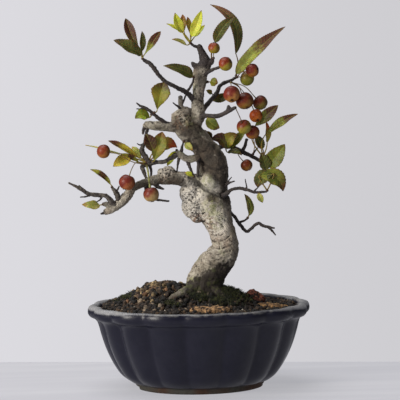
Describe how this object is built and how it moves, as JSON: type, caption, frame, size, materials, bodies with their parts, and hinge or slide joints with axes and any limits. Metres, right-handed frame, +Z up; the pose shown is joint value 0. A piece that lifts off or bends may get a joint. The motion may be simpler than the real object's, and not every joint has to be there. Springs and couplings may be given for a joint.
{
  "type": "crabapple bonsai",
  "caption": "Small crabapple tree with a leaning, knobbly trunk, toothed leaves and hanging fruit, rooted in a mound of soil in a lobed oval pot.",
  "frame": {"origin": "on the surface the pot's foot stands on, under the middle of the whole tree's bounding box", "axes": "+Z up the tree, +X to the right along the pot's long axis seen from the front, +Y to the back"},
  "size_m": [0.2152, 0.1544, 0.344],
  "materials": {
    "glaze": "very dark navy glaze, semi-gloss, lighter where it breaks over the ribs and the lip; bare clay under the foot",
    "soil": "matt dark brown granular soil with grit and moss",
    "screen": "black plastic mesh",
    "wire": "drawn wire",
    "bark": "pale grey bark with pits, cork warts and lichen; the twigs are dark brown",
    "bark_chip": "rough dry bark flake",
    "stone": "matt pale pebble",
    "stalk": "thin green-brown fruit stalk",
    "fruit": "waxy red-brown skin over orange and olive, softly glossy",
    "leaf_green": "mature green leaf with paler veins and browned teeth",
    "leaf_young": "bright yellow-green young leaf",
    "leaf_ochre": "yellowed leaf with red-brown tip",
    "leaf_brown": "green leaf browned over its outer half"
  },
  "bodies": {
    "root": {"pot": "glaze", "soil": "soil", "drainage_screen_1": "screen", "drainage_screen_2": "screen", "screen_clip_1": "wire", "screen_clip_2": "wire", "wood": "bark", "leaves_rise": "leaf_brown", "leaves_crown": "leaf_young", "leaves_top": "leaf_green", "leaves_shoulder": "leaf_brown", "leaves_collar": "leaf_green", "leaves_cheek": "leaf_green", "leaves_lip": "leaf_green", "leaves_heart": "leaf_ochre", "leaves_veil": "leaf_young", "leaves_fan": "leaf_ochre", "leaves_horn": "leaf_ochre", "leaves_tongue": "leaf_green", "leaves_wing": "leaf_green", "leaves_apron": "leaf_green", "leaves_plate": "leaf_green", "leaves_arch": "leaf_green", "leaves_drip": "leaf_green", "leaves_sickle": "leaf_green", "leaves_ear": "leaf_green", "leaves_nape": "leaf_green", "leaves_chin": "leaf_green", "leaves_tuft": "leaf_green", "leaves_fleck": "leaf_green", "leaves_shade": "leaf_green", "leaves_back_low": "leaf_green", "leaves_back_side": "leaf_green", "leaves_back_high": "leaf_green", "crabapple_1": "fruit", "crabapple_2": "fruit", "crabapple_3": "fruit", "crabapple_4": "fruit", "crabapple_5": "fruit", "crabapple_6": "fruit", "crabapple_7": "fruit", "crabapple_8": "fruit", "crabapple_9": "fruit", "crabapple_10": "fruit", "crabapple_11": "fruit", "crabapple_12": "fruit", "crabapple_13": "fruit", "crabapple_14": "fruit", "stalks_1": "stalk", "stalks_2": "stalk", "stalks_3": "stalk", "stalks_4": "stalk", "stalks_5": "stalk", "stalks_6": "stalk", "stalks_7": "stalk", "stalks_8": "stalk", "bark_chip_1": "bark_chip", "bark_chip_2": "bark_chip", "bark_chip_3": "bark_chip", "pebble_1": "stone"}
  },
  "joints": []
}
